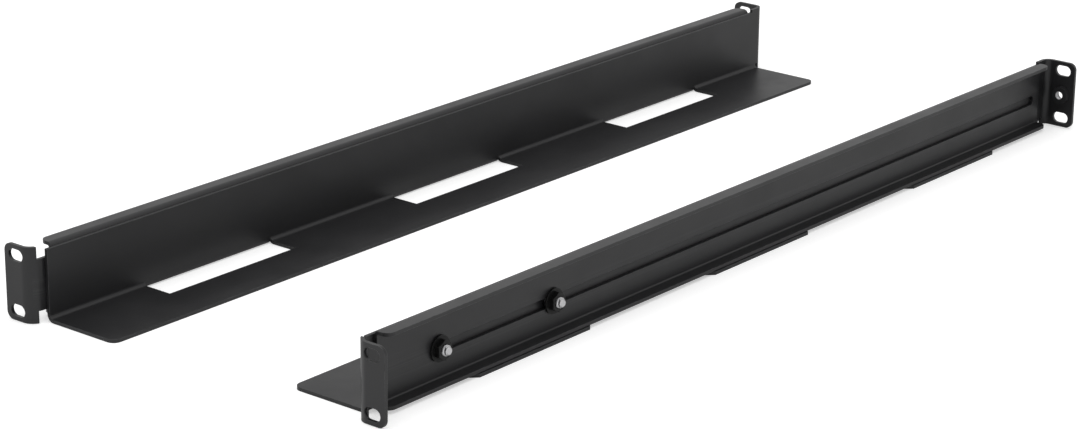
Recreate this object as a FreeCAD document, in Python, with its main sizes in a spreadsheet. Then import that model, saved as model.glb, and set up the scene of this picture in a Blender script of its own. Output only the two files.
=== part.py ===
# Sliding support rails for a 19-inch server rack, one left and one right.
#
# Each rail is a fixed shelf rail (upright web, shelf bent inward, tabs bent
# outward, rear ear) and a front channel that slides on the tabs and is held by
# two studs through its long slot.
#
# Frame: X across the pair, Y along the rails from front to rear, Z up.  The
# origin is on the floor under the middle of the pair.  Inside one rail, x is
# counted outward from the inner face of its web, y rearward from the face of
# its front ear and z from the underside of the shelf.
import FreeCAD, Part
import Sketcher
import math
import os

os.makedirs("parts", exist_ok=True)
doc = FreeCAD.newDocument("SlidingRailPair")

# ---------------------------------------------------------------- sizes (mm)
SIZES = (
    ("rail_spacing", 215.1, "between the inner faces of the two webs"),
    ("rail_stagger", 17.0, "how far the right rail lies behind the left one"),
    ("rail_length", 668.0, "front ear face to rear ear face, closed"),
    ("ear_centre", 22.15, "height of the ear centres"),
    ("slot_centre", 20.9, "height of the long slot and the studs"),
    ("slide_clearance", 0.3, "play between the channel and what it slides on"),
    ("shelf_sheet", 2.0, "sheet of the shelf rail"),
    ("web_height", 42.0, "top edge of the shelf rail's web"),
    ("shelf_width", 50.0, "shelf, from the inner face of the web"),
    ("shelf_front", 10.0, "front edge of the shelf behind the front ear face"),
    ("shelf_rear", 8.0, "rear edge of the shelf before the rear ear face"),
    ("shelf_bend", 2.5, "inside radius between web and shelf"),
    ("shelf_corner", 5.0, "rounding of the shelf's free corners"),
    ("window_front", 80.0, "front end of the first window"),
    ("window_pitch", 205.0, "from one window to the next"),
    ("window_length", 100.0, "window and tab, along the rail"),
    ("window_width", 20.0, "window, from the inner face of the web"),
    ("tab_reach", 10.6, "tab, from the outer face of the web"),
    ("tab_bend", 1.0, "inside radius between web and tab"),
    ("tab_chamfer", 4.3, "corner cut of a tab"),
    ("ear_height", 43.66, "one rack unit, less the usual gap"),
    ("ear_reach", 23.0, "ear edge, from the inner face of the web"),
    ("ear_corner", 4.5, "rounding of the ear corners"),
    ("hole_pitch", 31.75, "outer holes of one rack unit"),
    ("hole_reach", 14.3, "hole line, from the inner face of the web"),
    ("ear_slot_length", 11.0, "ear slot, across"),
    ("ear_slot_height", 7.0, "ear slot, upright"),
    ("rear_ear_bend", 4.0, "inside radius of the rear ear bend"),
    ("shoulder_length", 13.0, "raised end of the web, before the rear ear face"),
    ("rear_notch", 5.0, "end of the notch under the web, before the rear ear face"),
    ("channel_sheet", 2.0, "sheet of the front channel"),
    ("channel_depth", 9.7, "web back to flange edge"),
    ("channel_bend", 1.0, "inside radius between channel web and flanges"),
    ("channel_front", 15.0, "front end of the flanges behind the ear face"),
    ("channel_rear", 653.0, "rear end of the channel behind the ear face"),
    ("flange_corner", 5.0, "rounding of the flanges' free corners"),
    ("front_ear_bend", 6.0, "inside radius of the front ear bend"),
    ("neck_height", 29.6, "neck between front ear and flanges"),
    ("neck_start", 5.0, "front end of the neck behind the ear face"),
    ("closed_play", 0.3, "front stud to the front end of the long slot, closed"),
    ("long_slot_rear", 647.0, "rear end of the long slot"),
    ("long_slot_play", 0.1, "stud to either side of the long slot"),
    ("front_stud_place", 61.8, "front stud behind the front ear face"),
    ("stud_pitch", 92.0, "from front stud to rear stud"),
    ("stud_diameter", 6.0, "shank of a stud"),
    ("stud_length", 11.5, "inner face of the web to the end of a stud"),
    ("stud_end_chamfer", 0.7, "lead-in at the end of a stud"),
    ("stud_head_diameter", 9.0, "concealed head of a stud"),
    ("stud_head_thickness", 1.2, "concealed head, in a blind recess of the web"),
    ("clinch_clearance", 0.05, "radial play of a clinched piece in its seat"),
    ("washer_diameter", 14.5, "outside of a washer"),
    ("washer_bore", 6.4, "bore of a washer"),
    ("washer_thickness", 1.0, "washer"),
    ("nut_width", 10.0, "nut across flats"),
    ("nut_thickness", 3.2, "thin nut"),
    ("nut_play", 0.1, "gap between washer and nut"),
    ("thread_clearance", 0.05, "radial play between nut and stud"),
    ("ear_nut_diameter", 11.1, "body of the clinch nut in the rear ear"),
    ("ear_nut_height", 3.5, "body of the clinch nut, off the ear"),
    ("ear_nut_shank", 8.7, "shank of the clinch nut in the ear"),
    ("ear_nut_shank_length", 1.8, "shank of the clinch nut in the ear"),
    ("ear_nut_bore", 5.0, "tapped bore of the clinch nut"),
    ("ear_nut_lead", 6.4, "plain lead-in of the bore, inside the shank"),
    ("ear_nut_lead_depth", 0.3, "how far the lead-in reaches into the body"),
)

sheet = doc.addObject("Spreadsheet::Sheet", "Sizes")
for row, (alias, value, note) in enumerate(SIZES, start=1):
    sheet.set("A%d" % row, note)
    sheet.set("B%d" % row, str(value))
    sheet.setAlias("B%d" % row, alias)
doc.recompute()


# ------------------------------------------------------------------- helpers
class Measure:
    """A number together with the spreadsheet expression that gives it."""

    def __init__(self, value, text):
        self.value = value
        self.text = text

    def __add__(self, other):
        other = measure(other)
        return Measure(self.value + other.value, "(%s + %s)" % (self.text, other.text))

    def __sub__(self, other):
        other = measure(other)
        return Measure(self.value - other.value, "(%s - %s)" % (self.text, other.text))

    def __mul__(self, other):
        other = measure(other)
        return Measure(self.value * other.value, "(%s * %s)" % (self.text, other.text))

    def __truediv__(self, other):
        other = measure(other)
        return Measure(self.value / other.value, "(%s / %s)" % (self.text, other.text))


def measure(item):
    """A plain number as a Measure."""
    return item if isinstance(item, Measure) else Measure(float(item), "%.6f" % item)


def size(alias):
    """A size from the sheet as a Measure."""
    return Measure(float(sheet.get(alias)), "Sizes.%s" % alias)


def new_body(name, across, along, up):
    """An empty body at its place in the pair."""
    body = doc.addObject("PartDesign::Body", name)
    body.Label = name
    for axis, distance in (("x", across), ("y", along), ("z", up)):
        body.setExpression(".Placement.Base.%s" % axis, measure(distance).text)
    return body


def datum(body, role):
    """One of the body's own origin planes or axes."""
    return [item for item in body.Origin.OriginFeatures if item.Role == role][0]


def new_sketch(body, role, name, offset=0.0):
    """A sketch on an origin plane, moved along the plane's normal.

    The normals are +X for YZ_Plane, -Y for XZ_Plane and +Z for XY_Plane.
    """
    sketch = body.newObject("Sketcher::SketchObject", name)
    sketch.AttachmentSupport = (datum(body, role), [""])
    sketch.MapMode = "FlatFace"
    sketch.setExpression(".AttachmentOffset.Base.z", measure(offset).text)
    return sketch


def unit(difference):
    """The sign of a coordinate difference, 0 for none."""
    return 0 if abs(difference) < 1e-9 else (1 if difference > 0 else -1)


def flat_point(pair):
    """A point of a sketch from two Measures."""
    return FreeCAD.Vector(pair[0].value, pair[1].value, 0)


def hold(sketch, element, vertex, across, up):
    """Hold one vertex of a sketch element at its place."""
    for kind, distance in (("DistanceX", measure(across)), ("DistanceY", measure(up))):
        rule = Sketcher.Constraint(kind, -1, 1, element, vertex, distance.value)
        index = sketch.addConstraint(rule)
        sketch.setExpression("Constraints[%d]" % index, distance.text)


def hold_radius(sketch, element, radius):
    """Hold the radius of a circle or arc."""
    index = sketch.addConstraint(Sketcher.Constraint("Radius", element, radius.value))
    sketch.setExpression("Constraints[%d]" % index, radius.text)


def draw_outline(sketch, corners):
    """A closed outline through the corners, each (across, up) or
    (across, up, radius) for a right-angled corner that is rounded."""
    corners = [tuple(measure(item) for item in corner) for corner in corners]
    stretches = []
    arcs = []
    for before, corner, after in zip(corners[-1:] + corners[:-1], corners,
                                     corners[1:] + corners[:1]):
        if len(corner) == 2:
            stretches.append((corner, corner))
            arcs.append(None)
            continue
        across, up, radius = corner
        come = [unit(here.value - there.value) for here, there in zip(corner[:2], before[:2])]
        leave = [unit(there.value - here.value) for here, there in zip(corner[:2], after[:2])]
        first = (across - radius * come[0], up - radius * come[1])
        last = (across + radius * leave[0], up + radius * leave[1])
        stretches.append((first, last))
        arcs.append((come, leave, radius))
    lines = []
    for before, here in zip(stretches[-1:] + stretches[:-1], stretches):
        line = Part.LineSegment(flat_point(before[1]), flat_point(here[0]))
        lines.append(sketch.addGeometry(line, False))
    for line, following, ends, arc in zip(lines, lines[1:] + lines[:1], stretches, arcs):
        hold(sketch, line, 2, ends[0][0], ends[0][1])
        if arc is None:
            sketch.addConstraint(Sketcher.Constraint("Coincident", line, 2, following, 1))
            continue
        hold(sketch, following, 1, ends[1][0], ends[1][1])
        come, leave, radius = arc
        centre = flat_point(ends[0]) + FreeCAD.Vector(leave[0], leave[1], 0) * radius.value
        turns_left = come[0] * leave[1] - come[1] * leave[0] > 0
        start, stop = (0, 1) if turns_left else (1, 0)
        angles = [math.atan2(*reversed((flat_point(ends[end]) - centre)[:2]))
                  for end in (start, stop)]
        circle = Part.Circle(centre, FreeCAD.Vector(0, 0, 1), radius.value)
        element = sketch.addGeometry(Part.ArcOfCircle(circle, angles[0], angles[1]), False)
        joined = ((line, 2), (following, 1))
        for vertex, end in ((1, start), (2, stop)):
            sketch.addConstraint(Sketcher.Constraint(
                "Coincident", element, vertex, joined[end][0], joined[end][1]))
        hold_radius(sketch, element, radius)


def draw_circle(sketch, across, up, radius):
    """A circle about a point."""
    across, up = measure(across), measure(up)
    centre = FreeCAD.Vector(across.value, up.value, 0)
    circle = Part.Circle(centre, FreeCAD.Vector(0, 0, 1), radius.value)
    element = sketch.addGeometry(circle, False)
    hold(sketch, element, 3, across, up)
    hold_radius(sketch, element, radius)


def draw_slot(sketch, start, end, up, height):
    """A round-ended slot along the sketch's first axis, from start to end."""
    radius = height / 2
    sides = sorted((start, end), key=lambda item: item.value)
    low, high = sides[0] + radius, sides[1] - radius
    axis = FreeCAD.Vector(0, 0, 1)
    quarter = math.pi / 2
    left = Part.Circle(FreeCAD.Vector(low.value, up.value, 0), axis, radius.value)
    right = Part.Circle(FreeCAD.Vector(high.value, up.value, 0), axis, radius.value)
    top, bottom = up.value + radius.value, up.value - radius.value
    parts = (
        Part.ArcOfCircle(left, quarter, 3 * quarter),
        Part.LineSegment(FreeCAD.Vector(low.value, bottom, 0), FreeCAD.Vector(high.value, bottom, 0)),
        Part.ArcOfCircle(right, -quarter, quarter),
        Part.LineSegment(FreeCAD.Vector(high.value, top, 0), FreeCAD.Vector(low.value, top, 0)),
    )
    ids = [sketch.addGeometry(item, False) for item in parts]
    for this, following in zip(ids, ids[1:] + ids[:1]):
        sketch.addConstraint(Sketcher.Constraint("Tangent", this, 2, following, 1))
    sketch.addConstraint(Sketcher.Constraint("Equal", ids[0], ids[2]))
    hold(sketch, ids[0], 3, low, up)
    hold(sketch, ids[2], 3, high, up)
    hold_radius(sketch, ids[0], radius)


def pad(body, sketch, name, length, backward=False):
    """Material on a sketch; backward is against the sketch's normal."""
    feature = body.newObject("PartDesign::Pad", name)
    feature.Profile = sketch
    feature.Reversed = backward
    feature.setExpression("Length", measure(length).text)
    sketch.Visibility = False
    doc.recompute()
    return feature


def pocket(body, sketch, name, depth, forward=False):
    """Cut a sketch out of the body; forward is along the sketch's normal."""
    before = body.Shape.Volume
    feature = body.newObject("PartDesign::Pocket", name)
    feature.Profile = sketch
    feature.Reversed = forward
    feature.setExpression("Length", measure(depth).text)
    sketch.Visibility = False
    doc.recompute()
    if not body.Shape.Volume < before - 1e-6:
        raise ValueError("%s cuts nothing" % name)
    return feature


def edges_where(shape, direction, places):
    """Names of the straight edges along a direction that pass through places.

    A place gives the coordinates that matter and None for the rest.
    """
    names = []
    for number, edge in enumerate(shape.Edges, start=1):
        if edge.Curve.TypeId != "Part::GeomLine":
            continue
        if abs(abs(edge.tangentAt(edge.FirstParameter).dot(direction)) - 1) > 1e-6:
            continue
        middle = edge.CenterOfMass
        for place in places:
            gaps = [abs(a - measure(b).value) for a, b in zip(middle, place) if b is not None]
            if max(gaps) < 1e-4:
                names.append("Edge%d" % number)
                break
    return names


def dress(body, kind, name, direction, places, amount):
    """A Fillet or Chamfer on the straight edges through the given places."""
    base = body.Tip
    names = edges_where(base.Shape, FreeCAD.Vector(*direction), places)
    if len(names) < len(places):
        raise ValueError("%s finds %d of %d edges" % (name, len(names), len(places)))
    feature = body.newObject("PartDesign::" + kind, name)
    feature.Base = (base, names)
    feature.setExpression("Radius" if kind == "Fillet" else "Size", measure(amount).text)
    doc.recompute()
    return feature


ALONG_X = (1, 0, 0)
ALONG_Y = (0, 1, 0)
ALONG_Z = (0, 0, 1)


# ------------------------------------------------------------ shared places
class Side:
    """Where one rail of the pair stands and which way is outward."""

    def __init__(self, name, sign):
        self.name = name
        self.sign = sign
        self.across = size("rail_spacing") / 2 * sign
        self.front = (size("rail_length") + size("rail_stagger")) / -2
        if sign > 0:
            self.front = self.front + size("rail_stagger")

    def out(self, distance):
        """A distance outward from the web, as a coordinate."""
        return measure(distance) * self.sign


channel_back = size("shelf_sheet") + size("slide_clearance")
channel_face = channel_back + size("channel_sheet")
channel_bottom = size("shelf_sheet") + size("slide_clearance")
washer_seat = channel_face + size("slide_clearance")
nut_seat = washer_seat + size("washer_thickness") + size("nut_play")
ear_top = size("ear_centre") + size("ear_height") / 2
ear_bottom = size("ear_centre") - size("ear_height") / 2
stud_places = (
    ("front", size("front_stud_place")),
    ("rear", size("front_stud_place") + size("stud_pitch")),
)


def cut_ear_slots(body, side, ear_face, depth, forward):
    """The two bolt slots of an ear, one rack hole pitch apart."""
    sketch = new_sketch(body, "XZ_Plane", "EarSlots", ear_face * -1)
    near = side.out(size("hole_reach") - size("ear_slot_length") / 2)
    far = side.out(size("hole_reach") + size("ear_slot_length") / 2)
    for step in (-1, 1):
        up = size("ear_centre") + size("hole_pitch") / 2 * step
        draw_slot(sketch, near, far, up, size("ear_slot_height"))
    pocket(body, sketch, "EarSlotCut", depth, forward)


# --------------------------------------------------------------- shelf rail
def make_shelf_rail(side):
    """Fixed rail: web, inward shelf with windows, outward tabs and rear ear."""
    body = new_body(side.name + "_shelf_rail", side.across, side.front, 0)
    thick = size("shelf_sheet")
    front = size("shelf_front")
    rear = size("rail_length") - size("shelf_rear")
    inward = side.out(size("shelf_width") * -1)

    # Web and shelf: one angle, bent with a round corner.
    angle = new_sketch(body, "XZ_Plane", "AngleSection", front * -1)
    draw_outline(angle, (
        (inward, 0), (side.out(thick), 0, size("shelf_bend") + thick),
        (side.out(thick), size("web_height")), (0, size("web_height")),
        (0, thick, size("shelf_bend")), (inward, thick)))
    pad(body, angle, "Angle", rear - front, backward=True)
    dress(body, "Fillet", "ShelfCorners", ALONG_Z,
          [(inward, front, None), (inward, rear, None)], size("shelf_corner"))

    # Windows: the strip of shelf and bend between web and window edge goes,
    # and a tab of the same length is bent outward in its place.
    bend_top = size("shelf_bend") + thick
    window_end = size("window_front") + size("window_length")
    window = new_sketch(body, "XY_Plane", "Window", bend_top)
    window_edge = side.out(size("window_width") * -1)
    draw_outline(window, (
        (window_edge, size("window_front")), (side.out(thick), size("window_front")),
        (side.out(thick), window_end), (window_edge, window_end)))
    window_cut = pocket(body, window, "WindowCut", bend_top)

    tab_edge = side.out(thick + size("tab_reach"))
    tab = new_sketch(body, "XZ_Plane", "TabSection", size("window_front") * -1)
    draw_outline(tab, (
        (0, 0, size("tab_bend") + thick), (tab_edge, 0), (tab_edge, thick),
        (side.out(thick), thick, size("tab_bend")), (side.out(thick), bend_top), (0, bend_top)))
    tab_pad = pad(body, tab, "Tab", size("window_length"), backward=True)

    row = body.newObject("PartDesign::LinearPattern", "WindowRow")
    row.Originals = [window_cut, tab_pad]
    row.Direction = (datum(body, "Y_Axis"), [""])
    row.Occurrences = 3
    row.setExpression("Length", (size("window_pitch") * 2).text)
    body.Tip = row
    doc.recompute()

    middles = [size("window_front") + size("window_length") / 2 + size("window_pitch") * step
               for step in range(3)]
    ends = [middle + size("window_length") / 2 * step for middle in middles for step in (-1, 1)]
    dress(body, "Chamfer", "TabCorners", ALONG_Z,
          [(tab_edge, end, None) for end in ends], size("tab_chamfer"))

    # Rear ear: past the shelf the web rises to the full ear height and turns
    # outward, over a notch behind the shelf's end.
    ear_face = size("rail_length")
    ear_edge = side.out(size("ear_reach"))
    turn = new_sketch(body, "XY_Plane", "EarTurn", ear_bottom)
    draw_outline(turn, (
        (0, rear), (side.out(thick), rear),
        (side.out(thick), ear_face - thick, size("rear_ear_bend")),
        (ear_edge, ear_face - thick), (ear_edge, ear_face),
        (0, ear_face, size("rear_ear_bend") + thick)))
    pad(body, turn, "Ear", size("ear_height"))
    shoulder = new_sketch(body, "YZ_Plane", "Shoulder")
    draw_outline(shoulder, (
        (ear_face - size("shoulder_length"), size("web_height") - thick), (rear, size("web_height") - thick),
        (rear, ear_top), (ear_face - size("shoulder_length"), ear_top)))
    pad(body, shoulder, "RaisedWeb", thick, side.sign < 0)
    notch = new_sketch(body, "YZ_Plane", "Notch")
    notch_end = ear_face - size("rear_notch")
    draw_outline(notch, (
        (rear, ear_bottom - 1), (notch_end, ear_bottom - 1), (notch_end, bend_top), (rear, bend_top)))
    pocket(body, notch, "NotchCut", thick * 2, side.sign > 0)
    dress(body, "Fillet", "EarCorners", ALONG_Y,
          [(ear_edge, None, ear_bottom), (ear_edge, None, ear_top)], size("ear_corner"))
    cut_ear_slots(body, side, ear_face - thick, thick, False)

    # Middle hole of the ear, for the clinch nut.
    middle_hole = new_sketch(body, "XZ_Plane", "NutHole", (ear_face - thick) * -1)
    draw_circle(middle_hole, side.out(size("hole_reach")), size("ear_centre"),
                size("ear_nut_shank") / 2 + size("clinch_clearance"))
    pocket(body, middle_hole, "NutHoleCut", thick)

    # Blind recesses in the outer face for the heads of the studs.
    heads = new_sketch(body, "YZ_Plane", "StudRecesses", side.out(thick))
    for _, place in stud_places:
        draw_circle(heads, place, size("slot_centre"),
                    size("stud_head_diameter") / 2 + size("clinch_clearance"))
    pocket(body, heads, "StudRecessCut", size("stud_head_thickness"), side.sign < 0)
    return body


# ------------------------------------------------------------ front channel
def make_front_channel(side):
    """Sliding channel with outward flanges, a long slot and the front ear."""
    body = new_body(side.name + "_front_channel", side.across, side.front, 0)
    thick = size("channel_sheet")
    back = side.out(channel_back)
    face = side.out(channel_face)
    edge = side.out(channel_back + size("channel_depth"))
    bottom = channel_bottom
    top = size("web_height") + thick
    front = size("channel_front")
    rear = size("channel_rear")

    # Channel section: web and two flanges.
    section = new_sketch(body, "XZ_Plane", "ChannelSection", front * -1)
    bend = size("channel_bend")
    draw_outline(section, (
        (back, bottom, bend + thick), (edge, bottom), (edge, bottom + thick),
        (face, bottom + thick, bend), (face, top - thick, bend),
        (edge, top - thick), (edge, top), (back, top, bend + thick)))
    pad(body, section, "Channel", rear - front, backward=True)
    dress(body, "Fillet", "FlangeCorners", ALONG_Z,
          [(edge, front, None), (edge, rear, None)], size("flange_corner"))

    # Front ear: the web runs forward through a neck and turns outward.
    ear_edge = side.out(size("ear_reach"))
    turn = new_sketch(body, "XY_Plane", "EarTurn", ear_bottom)
    draw_outline(turn, (
        (back, 0, size("front_ear_bend") + thick), (ear_edge, 0), (ear_edge, thick),
        (face, thick, size("front_ear_bend")), (face, front), (back, front)))
    pad(body, turn, "Ear", size("ear_height"))
    dress(body, "Fillet", "EarCorners", ALONG_Y,
          [(ear_edge, None, ear_bottom), (ear_edge, None, ear_top)], size("ear_corner"))

    # Neck: cut above and below, between the ear bend and the flanges.
    neck = new_sketch(body, "YZ_Plane", "NeckNotches", back)
    for step, limit in ((-1, ear_bottom - 1), (1, ear_top + 1)):
        shoulder = size("ear_centre") + size("neck_height") / 2 * step
        draw_outline(neck, (
            (size("neck_start"), shoulder), (front, shoulder),
            (front, limit), (size("neck_start"), limit)))
    pocket(body, neck, "NeckCut", size("channel_depth"), side.sign > 0)
    cut_ear_slots(body, side, measure(0), thick, False)

    # Long slot for the studs.
    slot = new_sketch(body, "YZ_Plane", "LongSlot", back)
    slot_front = size("front_stud_place") - size("stud_diameter") / 2 - size("closed_play")
    draw_slot(slot, slot_front, size("long_slot_rear"), size("slot_centre"),
              size("stud_diameter") + size("long_slot_play") * 2)
    pocket(body, slot, "LongSlotCut", thick, side.sign > 0)
    return body


# ---------------------------------------------------------------- fasteners
def make_stud(side, position, place):
    """Clinch stud: concealed head in the web, shank through the long slot."""
    body = new_body("%s_%s_stud" % (side.name, position),
                    side.across, side.front + place, size("slot_centre"))
    shank = size("stud_diameter") / 2
    head = size("stud_head_diameter") / 2
    chamfer = size("stud_end_chamfer")
    floor = side.out(size("shelf_sheet") - size("stud_head_thickness"))
    profile = new_sketch(body, "XY_Plane", "StudProfile")
    draw_outline(profile, (
        (floor, 0), (floor, head), (side.out(size("shelf_sheet")), head),
        (side.out(size("shelf_sheet")), shank),
        (side.out(size("stud_length") - chamfer), shank),
        (side.out(size("stud_length")), shank - chamfer), (side.out(size("stud_length")), 0)))
    turned = body.newObject("PartDesign::Revolution", "Stud")
    turned.Profile = profile
    turned.ReferenceAxis = (datum(body, "X_Axis"), [""])
    turned.Angle = 360.0
    doc.recompute()
    return body


def make_washer(side, position, place):
    """Plain washer in front of the channel web."""
    body = new_body("%s_%s_washer" % (side.name, position),
                    side.across + side.out(washer_seat),
                    side.front + place, size("slot_centre"))
    ring = new_sketch(body, "YZ_Plane", "Ring")
    draw_circle(ring, 0, 0, size("washer_diameter") / 2)
    draw_circle(ring, 0, 0, size("washer_bore") / 2)
    pad(body, ring, "Washer", size("washer_thickness"), side.sign < 0)
    return body


def make_nut(side, position, place):
    """Hexagon nut, flat toward the washer, corners rounded off at the outer face."""
    body = new_body("%s_%s_nut" % (side.name, position),
                    side.across + side.out(nut_seat),
                    side.front + place, size("slot_centre"))
    flat = size("nut_width") / 2
    corner = flat * 1.154700538
    half = flat * 0.577350269
    hexagon = new_sketch(body, "YZ_Plane", "Hexagon")
    draw_outline(hexagon, (
        (flat, half), (0, corner), (flat * -1, half),
        (flat * -1, half * -1), (0, corner * -1), (flat, half * -1)))
    draw_circle(hexagon, 0, 0, size("stud_diameter") / 2 + size("thread_clearance"))
    pad(body, hexagon, "Nut", size("nut_thickness"), side.sign < 0)
    before = body.Shape.Volume
    bevel = new_sketch(body, "XY_Plane", "Bevel")
    rise = (corner - flat) * 0.577350269
    thickness = size("nut_thickness")
    draw_outline(bevel, (
        (side.out(thickness), flat), (side.out(thickness - rise), corner),
        (side.out(thickness), corner)))
    groove = body.newObject("PartDesign::Groove", "BevelCut")
    groove.Profile = bevel
    groove.ReferenceAxis = (datum(body, "X_Axis"), [""])
    groove.Angle = 360.0
    doc.recompute()
    if not body.Shape.Volume < before - 1e-6:
        raise ValueError("the nut bevel cuts nothing")
    return body


def make_ear_nut(side):
    """Clinch nut on the front of the rear ear, threaded for the rack bolt."""
    body = new_body(side.name + "_ear_nut", side.across + side.out(size("hole_reach")),
                    side.front + size("rail_length") - size("shelf_sheet"),
                    size("ear_centre"))
    bore = size("ear_nut_bore") / 2
    shank = size("ear_nut_shank") / 2
    wide = size("ear_nut_diameter") / 2
    profile = new_sketch(body, "XY_Plane", "NutProfile")
    lead = size("ear_nut_lead") / 2
    draw_outline(profile, (
        (bore, size("ear_nut_height") * -1), (wide, size("ear_nut_height") * -1), (wide, 0),
        (shank, 0), (shank, size("ear_nut_shank_length")), (lead, size("ear_nut_shank_length")),
        (lead, size("ear_nut_lead_depth") * -1), (bore, size("ear_nut_lead_depth") * -1)))
    turned = body.newObject("PartDesign::Revolution", "ClinchNut")
    turned.Profile = profile
    turned.ReferenceAxis = (datum(body, "Y_Axis"), [""])
    turned.Angle = 360.0
    doc.recompute()
    return body


# ----------------------------------------------------------------- assembly
bodies = []
for side in (Side("left", -1), Side("right", 1)):
    bodies.append(make_shelf_rail(side))
    bodies.append(make_front_channel(side))
    for position, place in stud_places:
        bodies.append(make_stud(side, position, place))
        bodies.append(make_washer(side, position, place))
        bodies.append(make_nut(side, position, place))
    bodies.append(make_ear_nut(side))
doc.recompute()

# ------------------------------------------------------------------- export
for item in doc.Objects:
    if "Invalid" in item.State or "Error" in item.State:
        raise ValueError("%s is not built: %s" % (item.Label, item.State))
for body in bodies:
    if body.Shape.isNull() or not body.Shape.isValid() or len(body.Shape.Solids) != 1:
        raise ValueError("%s is not one valid solid" % body.Label)
for body in bodies:
    body.Shape.exportStep("parts/%s.step" % body.Label)
    box = body.Shape.BoundBox
    print("%-22s volume %10.1f  x %.2f..%.2f  y %.2f..%.2f  z %.2f..%.2f" % (
        body.Label, body.Shape.Volume, box.XMin, box.XMax, box.YMin, box.YMax, box.ZMin, box.ZMax))
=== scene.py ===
import math

import bmesh
import bpy
from mathutils import Matrix, Vector


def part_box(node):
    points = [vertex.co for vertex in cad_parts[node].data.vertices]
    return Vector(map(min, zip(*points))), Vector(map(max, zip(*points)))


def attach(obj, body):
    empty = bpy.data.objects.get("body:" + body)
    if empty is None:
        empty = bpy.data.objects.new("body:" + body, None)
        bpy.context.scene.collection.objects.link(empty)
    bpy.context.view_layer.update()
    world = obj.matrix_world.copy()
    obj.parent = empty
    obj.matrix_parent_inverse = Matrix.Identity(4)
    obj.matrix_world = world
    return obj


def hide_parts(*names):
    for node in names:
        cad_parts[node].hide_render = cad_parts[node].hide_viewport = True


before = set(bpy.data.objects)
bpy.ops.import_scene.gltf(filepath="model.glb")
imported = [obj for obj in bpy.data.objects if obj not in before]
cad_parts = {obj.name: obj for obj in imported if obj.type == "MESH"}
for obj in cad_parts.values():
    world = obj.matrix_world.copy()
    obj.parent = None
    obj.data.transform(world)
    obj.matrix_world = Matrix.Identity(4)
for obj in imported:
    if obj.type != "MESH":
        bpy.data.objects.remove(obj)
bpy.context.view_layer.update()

# Shelf rails, left and right.  Each is one piece of 2 mm steel sheet, laser
# cut, then bent: a shelf to the inside, three tabs and the rear ear to the
# outside.  They are powder coated satin black after bending.


def new_group(name, inputs, outputs):
    """A shader node group with float, colour or vector sockets."""
    group = bpy.data.node_groups.new(name, "ShaderNodeTree")
    for socket, kind, value in inputs:
        made = group.interface.new_socket(name=socket, in_out="INPUT", socket_type=kind)
        made.default_value = value
    for socket, kind in outputs:
        group.interface.new_socket(name=socket, in_out="OUTPUT", socket_type=kind)
    enter = group.nodes.new("NodeGroupInput")
    leave = group.nodes.new("NodeGroupOutput")
    return group, enter, leave


def add_node(tree, kind, settings=None, values=None, links=None):
    """A node with its settings, unlinked values and incoming links."""
    node = tree.nodes.new(kind)
    for key, value in (settings or {}).items():
        setattr(node, key, value)
    for key, value in (values or {}).items():
        node.inputs[key].default_value = value
    for key, source in (links or {}).items():
        tree.links.new(source, node.inputs[key])
    return node


def make_powder_group():
    """The fine orange-peel skin of a powder coat: a height and a gloss that varies."""
    group, enter, leave = new_group(
        "powder skin",
        (("Peel Size", "NodeSocketFloat", 900.0), ("Speck Size", "NodeSocketFloat", 2600.0),
         ("Cloud Size", "NodeSocketFloat", 22.0), ("Roughness", "NodeSocketFloat", 0.42),
         ("Spread", "NodeSocketFloat", 0.12)),
        (("Height", "NodeSocketFloat"), ("Roughness", "NodeSocketFloat")))
    place = add_node(group, "ShaderNodeTexCoord")
    peel = add_node(group, "ShaderNodeTexNoise", {}, {"Detail": 2.0, "Roughness": 0.55},
                    {"Vector": place.outputs["Object"], "Scale": enter.outputs["Peel Size"]})
    speck = add_node(group, "ShaderNodeTexVoronoi", {"feature": "SMOOTH_F1"}, {"Smoothness": 0.6},
                     {"Vector": place.outputs["Object"], "Scale": enter.outputs["Speck Size"]})
    cloud = add_node(group, "ShaderNodeTexNoise", {}, {"Detail": 5.0, "Roughness": 0.6},
                     {"Vector": place.outputs["Object"], "Scale": enter.outputs["Cloud Size"]})
    speck_share = 0.35
    both = add_node(group, "ShaderNodeMath", {"operation": "MULTIPLY_ADD"}, {1: speck_share},
                    {0: speck.outputs["Distance"], 2: peel.outputs["Fac"]})
    low = add_node(group, "ShaderNodeMath", {"operation": "SUBTRACT"}, {},
                   {0: enter.outputs["Roughness"], 1: enter.outputs["Spread"]})
    high = add_node(group, "ShaderNodeMath", {"operation": "ADD"}, {},
                    {0: enter.outputs["Roughness"], 1: enter.outputs["Spread"]})
    gloss = add_node(group, "ShaderNodeMapRange", {}, {"From Min": 0.25, "From Max": 0.75},
                     {"Value": cloud.outputs["Fac"], "To Min": low.outputs[0],
                      "To Max": high.outputs[0]})
    group.links.new(both.outputs[0], leave.inputs["Height"])
    group.links.new(gloss.outputs["Result"], leave.inputs["Roughness"])
    return group


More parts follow.
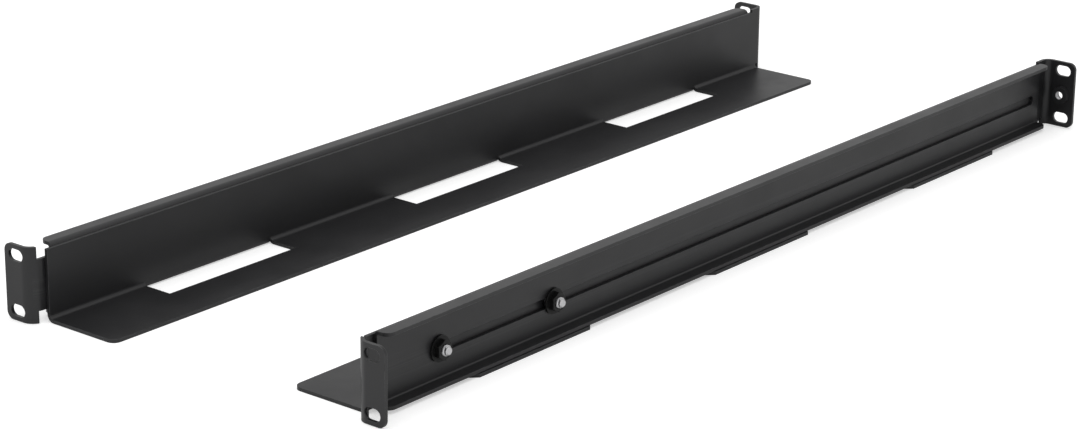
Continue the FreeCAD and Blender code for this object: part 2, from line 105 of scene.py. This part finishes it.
def make_edge_group():
    """A mask that is 1 on worn corners and cut edges and 0 on flat sheet."""
    group, enter, leave = new_group(
        "edge wear",
        (("Width", "NodeSocketFloat", 0.0006), ("Patch Size", "NodeSocketFloat", 180.0),
         ("Amount", "NodeSocketFloat", 0.5)),
        (("Mask", "NodeSocketFloat"),))
    rounded = add_node(group, "ShaderNodeBevel", {"samples": 6}, {},
                       {"Radius": enter.outputs["Width"]})
    shape = add_node(group, "ShaderNodeNewGeometry")
    turn = add_node(group, "ShaderNodeVectorMath", {"operation": "DOT_PRODUCT"}, {},
                    {0: rounded.outputs["Normal"], 1: shape.outputs["True Normal"]})
    edge = add_node(group, "ShaderNodeMapRange", {"clamp": True},
                    {"From Min": 0.985, "From Max": 0.86, "To Min": 0.0, "To Max": 1.0},
                    {"Value": turn.outputs["Value"]})
    place = add_node(group, "ShaderNodeTexCoord")
    patch = add_node(group, "ShaderNodeTexNoise", {}, {"Detail": 6.0, "Roughness": 0.7},
                     {"Vector": place.outputs["Object"], "Scale": enter.outputs["Patch Size"]})
    breakup = add_node(group, "ShaderNodeMapRange", {"clamp": True},
                       {"From Min": 0.42, "From Max": 0.66, "To Min": 0.0, "To Max": 1.0},
                       {"Value": patch.outputs["Fac"]})
    product = add_node(group, "ShaderNodeMath", {"operation": "MULTIPLY"}, {},
                       {0: edge.outputs["Result"], 1: breakup.outputs["Result"]})
    scaled = add_node(group, "ShaderNodeMath", {"operation": "MULTIPLY", "use_clamp": True}, {},
                      {0: product.outputs[0], 1: enter.outputs["Amount"]})
    group.links.new(scaled.outputs[0], leave.inputs["Mask"])
    return group


powder_skin = make_powder_group()
edge_wear = make_edge_group()


def new_material(name):
    """An empty node material with its Principled shader."""
    material = bpy.data.materials.new(name)
    material.use_nodes = True
    return material, material.node_tree, material.node_tree.nodes["Principled BSDF"]


def make_powder_coat(name, paint, bare, roughness, wear):
    """Satin black powder coat on steel with its own gloss and edge wear."""
    edge_radius = 0.00035
    peel_depth = 0.00006
    material, tree, shader = new_material(name)
    skin = add_node(tree, "ShaderNodeGroup", {"node_tree": powder_skin},
                    {"Roughness": roughness, "Spread": 0.09})
    worn = add_node(tree, "ShaderNodeGroup", {"node_tree": edge_wear}, {"Amount": wear})
    colour = add_node(tree, "ShaderNodeMix", {"data_type": "RGBA"}, {"A": paint, "B": bare},
                      {"Factor": worn.outputs["Mask"]})
    soft = add_node(tree, "ShaderNodeBevel", {"samples": 6}, {"Radius": edge_radius})
    bump = add_node(tree, "ShaderNodeBump", {}, {"Strength": 0.35, "Distance": peel_depth},
                    {"Height": skin.outputs["Height"], "Normal": soft.outputs["Normal"]})
    tree.links.new(colour.outputs["Result"], shader.inputs["Base Color"])
    tree.links.new(skin.outputs["Roughness"], shader.inputs["Roughness"])
    tree.links.new(bump.outputs["Normal"], shader.inputs["Normal"])
    shader.inputs["Specular IOR Level"].default_value = 0.5
    return material


def dress_node(name, material):
    """Gives a solid of the frame its material."""
    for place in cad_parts[name].material_slots:
        place.material = material


satin_black = (0.012, 0.012, 0.013, 1.0)
worn_grey = (0.16, 0.16, 0.165, 1.0)
shelf_coat = make_powder_coat("shelf rail powder coat", satin_black, worn_grey, roughness=0.40, wear=0.45)
for side in ("left", "right"):
    dress_node(side + "_shelf_rail", shelf_coat)

# Front channels, left and right.  Each is a second piece of 2 mm sheet, bent
# to a channel with a long slot in its web and the front ear at its end, and
# powder coated like the shelf rail it slides on.


def make_rub_group():
    """A mask of long fine streaks in the band where the washers slide along the slot."""
    group, enter, leave = new_group(
        "slide rub",
        (("Height", "NodeSocketFloat", 0.0209), ("Half Width", "NodeSocketFloat", 0.0078),
         ("Web Face", "NodeSocketFloat", 0.112), ("Amount", "NodeSocketFloat", 0.5)),
        (("Mask", "NodeSocketFloat"),))
    place = add_node(group, "ShaderNodeTexCoord")
    parts = add_node(group, "ShaderNodeSeparateXYZ", {}, {}, {"Vector": place.outputs["Object"]})
    side_on = add_node(group, "ShaderNodeMath", {"operation": "ABSOLUTE"}, {},
                       {0: parts.outputs["X"]})
    on_web = add_node(group, "ShaderNodeMath", {"operation": "LESS_THAN"}, {},
                      {0: side_on.outputs[0], 1: enter.outputs["Web Face"]})
    away = add_node(group, "ShaderNodeMath", {"operation": "SUBTRACT"}, {},
                    {0: parts.outputs["Z"], 1: enter.outputs["Height"]})
    far = add_node(group, "ShaderNodeMath", {"operation": "ABSOLUTE"}, {}, {0: away.outputs[0]})
    share = add_node(group, "ShaderNodeMath", {"operation": "DIVIDE"}, {},
                     {0: far.outputs[0], 1: enter.outputs["Half Width"]})
    band = add_node(group, "ShaderNodeMapRange", {"interpolation_type": "SMOOTHSTEP"},
                    {"From Min": 1.0, "From Max": 0.8}, {"Value": share.outputs[0]})
    streak_scale = (40.0, 5.0, 2400.0)
    drawn = add_node(group, "ShaderNodeMapping", {}, {"Scale": streak_scale},
                     {"Vector": place.outputs["Object"]})
    streak = add_node(group, "ShaderNodeTexNoise", {}, {"Scale": 1.0, "Detail": 4.0, "Roughness": 0.65},
                      {"Vector": drawn.outputs[0]})
    fine = add_node(group, "ShaderNodeMapRange", {}, {"From Min": 0.5, "From Max": 0.72},
                    {"Value": streak.outputs["Fac"]})
    both = add_node(group, "ShaderNodeMath", {"operation": "MULTIPLY"}, {},
                    {0: band.outputs["Result"], 1: fine.outputs["Result"]})
    kept = add_node(group, "ShaderNodeMath", {"operation": "MULTIPLY"}, {},
                    {0: both.outputs[0], 1: on_web.outputs[0]})
    scaled = add_node(group, "ShaderNodeMath", {"operation": "MULTIPLY", "use_clamp": True}, {},
                      {0: kept.outputs[0], 1: enter.outputs["Amount"]})
    group.links.new(scaled.outputs[0], leave.inputs["Mask"])
    return group


channel_black = (0.014, 0.014, 0.015, 1.0)
channel_grey = (0.18, 0.18, 0.185, 1.0)
rubbed_grey = (0.05, 0.05, 0.052, 1.0)
channel_coat = make_powder_coat("front channel powder coat", channel_black, channel_grey,
                                roughness=0.36, wear=0.5)
tree = channel_coat.node_tree
shader = tree.nodes["Principled BSDF"]
rub = add_node(tree, "ShaderNodeGroup", {"node_tree": make_rub_group()})
plain = shader.inputs["Base Color"].links[0].from_socket
rubbed = add_node(tree, "ShaderNodeMix", {"data_type": "RGBA"}, {"B": rubbed_grey},
                  {"Factor": rub.outputs["Mask"], "A": plain})
tree.links.new(rubbed.outputs["Result"], shader.inputs["Base Color"])
for side in ("left", "right"):
    dress_node(side + "_front_channel", channel_coat)

# Clinch studs, two to each rail.  Zinc-plated steel with a rolled M6 thread;
# each has its head pressed into a blind recess in the outer face of the web
# and sticks out through the long slot of the channel.


def make_plating(name, tint, roughness):
    """Bright zinc plating with faint clouding."""
    shade = 0.82
    polished = roughness - 0.08
    dull = roughness + 0.1
    material, tree, shader = new_material(name)
    place = add_node(tree, "ShaderNodeTexCoord")
    cloud = add_node(tree, "ShaderNodeTexNoise", {}, {"Scale": 420.0, "Detail": 5.0},
                     {"Vector": place.outputs["Object"]})
    gloss = add_node(tree, "ShaderNodeMapRange", {},
                     {"From Min": 0.3, "From Max": 0.7, "To Min": polished, "To Max": dull},
                     {"Value": cloud.outputs["Fac"]})
    dark = tuple(shade * part for part in tint) + (1.0,)
    colour = add_node(tree, "ShaderNodeMix", {"data_type": "RGBA"}, {"A": dark, "B": tint + (1.0,)},
                      {"Factor": cloud.outputs["Fac"]})
    tree.links.new(colour.outputs["Result"], shader.inputs["Base Color"])
    tree.links.new(gloss.outputs["Result"], shader.inputs["Roughness"])
    shader.inputs["Metallic"].default_value = 1.0
    return material


zinc_grey = (0.72, 0.72, 0.73)
stud_plating = make_plating("stud zinc plating", zinc_grey, roughness=0.34)
head_thick = 0.0012
crest_radius = 0.003
root_radius = 0.00245
thread_pitch = 0.001
crest_share = 0.1
tip_chamfer = 0.0006
tip_rounding = 0.00012
# Both lengths run from the back of the head.
thread_start = 0.0019
neck_end = 0.0021
# The foot of the thread sinks into the core by the overlap, and the profile
# stays off the axis by the gap.
overlap = 0.0001
axis_gap = 0.00001
weld = 0.000001
body_steps = 48
thread_steps = 32


def spun(mesh, profile, turns, steps, rise, axis_point):
    """Spins a closed (along, radius) profile about a line parallel to X, rising as it turns."""
    corners = [mesh.verts.new((along, axis_point[1], axis_point[2] + radius))
               for along, radius in profile]
    edges = [mesh.edges.new((one, other)) for one, other in zip(corners, corners[1:] + corners[:1])]
    bmesh.ops.spin(mesh, geom=corners + edges, cent=axis_point, axis=(1.0, 0.0, 0.0),
                   dvec=(rise / steps, 0.0, 0.0), angle=turns * 2 * math.pi, steps=round(turns * steps))


def make_stud(name, body):
    """Head, core and helical thread of a stud, in place of its plain solid."""
    near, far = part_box(name)
    hand = 1.0 if near[0] > 0 else -1.0
    inner, outer = (near[0], far[0]) if hand > 0 else (far[0], near[0])
    centre = (0.0, (near[1] + far[1]) / 2, (near[2] + far[2]) / 2)
    head = (far[2] - near[2]) / 2
    head_end = inner + hand * head_thick
    tip_radius = root_radius - tip_chamfer
    outline = ((inner, axis_gap), (inner, head), (head_end, head),
               (head_end, crest_radius - overlap), (inner + hand * neck_end, root_radius),
               (outer - hand * tip_chamfer, root_radius),
               (outer - hand * tip_rounding, tip_radius + tip_rounding),
               (outer, tip_radius), (outer, axis_gap))
    stud = bmesh.new()
    spun(stud, outline, 1.0, body_steps, 0.0, centre)
    start = inner + hand * thread_start
    end = outer - hand * (tip_chamfer + overlap)
    turns = (abs(end - start) - thread_pitch) / thread_pitch
    rise = hand * thread_pitch
    foot = root_radius - overlap
    tooth = ((start, foot), (start + rise * (1 - crest_share) / 2, crest_radius),
             (start + rise * (1 + crest_share) / 2, crest_radius), (start + rise, foot))
    spun(stud, tooth, turns, thread_steps, rise, centre)
    bmesh.ops.remove_doubles(stud, verts=stud.verts, dist=weld)
    bmesh.ops.holes_fill(stud, edges=stud.edges, sides=4)
    bmesh.ops.recalc_face_normals(stud, faces=stud.faces)
    data = bpy.data.meshes.new(name + "_threaded")
    stud.to_mesh(data)
    stud.free()
    piece = bpy.data.objects.new(name + "_threaded", data)
    bpy.context.scene.collection.objects.link(piece)
    data.materials.append(stud_plating)
    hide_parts(name)
    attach(piece, body)


for side in ("left", "right"):
    for piece in ("front_stud", "rear_stud"):
        make_stud(side + "_" + piece, "shelf_rails")

# Washers and thin nuts, one of each on every stud.  The washers are punched
# and the nuts cold formed from steel, both with a dull black zinc finish.


def make_black_zinc(name, tint, roughness):
    """Dull black zinc finish on steel, thinner on the edges."""
    rubbed_steel = (0.2, 0.2, 0.2, 1.0)
    material, tree, shader = new_material(name)
    worn = add_node(tree, "ShaderNodeGroup", {"node_tree": edge_wear},
                    {"Width": 0.0003, "Patch Size": 900.0, "Amount": 0.5})
    colour = add_node(tree, "ShaderNodeMix", {"data_type": "RGBA"},
                      {"A": tint, "B": rubbed_steel}, {"Factor": worn.outputs["Mask"]})
    tree.links.new(colour.outputs["Result"], shader.inputs["Base Color"])
    shader.inputs["Roughness"].default_value = roughness
    shader.inputs["Specular IOR Level"].default_value = 0.28
    return material


dull_black = (0.006, 0.006, 0.006, 1.0)
black_zinc = make_black_zinc("fastener black zinc", dull_black, roughness=0.45)
for side in ("left", "right"):
    for piece in ("front_washer", "rear_washer", "front_nut", "rear_nut"):
        dress_node(side + "_" + piece, black_zinc)

# Ear nuts.  Clinch nuts pressed into the rear ears before coating: black like
# the rail outside, bare bright steel in the masked thread.


def make_ear_nut_finish(name, centre, paint):
    """Powder coat outside the bore, plain steel with thread turns inside it."""
    bright_radius = 0.00265
    half_turn = 0.0004
    bare_steel = (0.55, 0.55, 0.56, 1.0)
    material, tree, shader = new_material(name)
    place = add_node(tree, "ShaderNodeTexCoord")
    parts = add_node(tree, "ShaderNodeSeparateXYZ", {}, {}, {"Vector": place.outputs["Object"]})
    flat = add_node(tree, "ShaderNodeCombineXYZ", {}, {},
                    {"X": parts.outputs["X"], "Z": parts.outputs["Z"]})
    radius = add_node(tree, "ShaderNodeVectorMath", {"operation": "DISTANCE"}, {1: centre},
                      {0: flat.outputs[0]})
    inside = add_node(tree, "ShaderNodeMath", {"operation": "LESS_THAN"}, {1: bright_radius},
                      {0: radius.outputs["Value"]})
    skin = add_node(tree, "ShaderNodeGroup", {"node_tree": powder_skin},
                    {"Roughness": 0.42, "Spread": 0.07})
    colour = add_node(tree, "ShaderNodeMix", {"data_type": "RGBA"},
                      {"A": paint, "B": bare_steel}, {"Factor": inside.outputs[0]})
    turns = add_node(tree, "ShaderNodeMath", {"operation": "PINGPONG"}, {1: half_turn},
                     {0: parts.outputs["Y"]})
    height = add_node(tree, "ShaderNodeMath", {"operation": "MULTIPLY"}, {},
                      {0: turns.outputs[0], 1: inside.outputs[0]})
    bump = add_node(tree, "ShaderNodeBump", {}, {"Strength": 1.0, "Distance": 1.0},
                    {"Height": height.outputs[0]})
    tree.links.new(colour.outputs["Result"], shader.inputs["Base Color"])
    tree.links.new(inside.outputs[0], shader.inputs["Metallic"])
    tree.links.new(skin.outputs["Roughness"], shader.inputs["Roughness"])
    tree.links.new(bump.outputs["Normal"], shader.inputs["Normal"])
    return material


for side in ("left", "right"):
    near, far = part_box(side + "_ear_nut")
    centre = ((near[0] + far[0]) / 2, 0.0, (near[2] + far[2]) / 2)
    dress_node(side + "_ear_nut", make_ear_nut_finish(side + " ear nut finish", centre, satin_black))

# Floor.  A plain pale floor under the pair, with a glow that only the camera
# sees, so it shows white away from the rails and keeps their soft shadow.
floor_reach = 6.0
floor_grey = (0.78, 0.78, 0.78, 1.0)
floor_glow = 0.46
floor_mesh = bmesh.new()
bmesh.ops.create_grid(floor_mesh, x_segments=1, y_segments=1, size=floor_reach)
floor_data = bpy.data.meshes.new("floor")
floor_mesh.to_mesh(floor_data)
floor_mesh.free()
floor = bpy.data.objects.new("floor", floor_data)
bpy.context.scene.collection.objects.link(floor)
floor_material, tree, shader = new_material("pale floor")
shader.inputs["Base Color"].default_value = floor_grey
shader.inputs["Roughness"].default_value = 0.8
seen = add_node(tree, "ShaderNodeLightPath")
lift = add_node(tree, "ShaderNodeMath", {"operation": "MULTIPLY"}, {1: floor_glow},
                {0: seen.outputs["Is Camera Ray"]})
shader.inputs["Emission Color"].default_value = (1.0, 1.0, 1.0, 1.0)
tree.links.new(lift.outputs[0], shader.inputs["Emission Strength"])
floor_data.materials.append(floor_material)

# Light.  One large soft box overhead and an even pale surround, which is
# weaker on the rails than the white that the camera sees behind them.


def add_soft_box(name, place, aim, width, height, power):
    """A rectangular studio light that points at a place."""
    lamp = bpy.data.lights.new(name, "AREA")
    lamp.shape = "RECTANGLE"
    lamp.size = width
    lamp.size_y = height
    lamp.energy = power
    box = bpy.data.objects.new(name, lamp)
    facing = (Vector(aim) - Vector(place)).to_track_quat("-Z", "Y")
    box.matrix_world = Matrix.Translation(place) @ facing.to_matrix().to_4x4()
    bpy.context.scene.collection.objects.link(box)


add_soft_box("overhead soft box", place=(0.05, -0.35, 1.7), aim=(0.0, -0.15, 0.0),
             width=1.6, height=1.8, power=12.6)
surround_on_rails = 0.7
surround_in_view = 1.0
world = bpy.data.worlds.new("pale surround")
bpy.context.scene.world = world
world.use_nodes = True
tree = world.node_tree
surround = tree.nodes["Background"]
surround.inputs["Color"].default_value = (1.0, 1.0, 1.0, 1.0)
seen = add_node(tree, "ShaderNodeLightPath")
strength = add_node(tree, "ShaderNodeMapRange", {},
                    {"To Min": surround_on_rails, "To Max": surround_in_view},
                    {"Value": seen.outputs["Is Camera Ray"]})
tree.links.new(strength.outputs["Result"], surround.inputs["Strength"])

# Camera.  It looks down on the pair from the front right, at a long focal
# length, so the rails stay nearly parallel.
camera_place = (1.08395, -1.3667, 0.5968)
focal_length = 102.63
film_width = 36.0
turn = math.radians(39.4)
tilt = math.radians(18.9)
roll = math.radians(0.5)
camera_data = bpy.data.cameras.new("camera")
camera_data.sensor_width = film_width
camera_data.lens = focal_length
camera_data.clip_end = 50.0
camera = bpy.data.objects.new("camera", camera_data)
back = Vector((math.sin(turn) * math.cos(tilt), -math.cos(turn) * math.cos(tilt), math.sin(tilt)))
level = Vector((math.cos(turn), math.sin(turn), 0.0))
upright = back.cross(level)
across = level * math.cos(roll) + upright * math.sin(roll)
upward = upright * math.cos(roll) - level * math.sin(roll)
facing = Matrix((across, upward, back)).transposed()
camera.matrix_world = Matrix.Translation(camera_place) @ facing.to_4x4()
bpy.context.scene.collection.objects.link(camera)
bpy.context.scene.camera = camera
bpy.context.scene.view_settings.view_transform = "Standard"
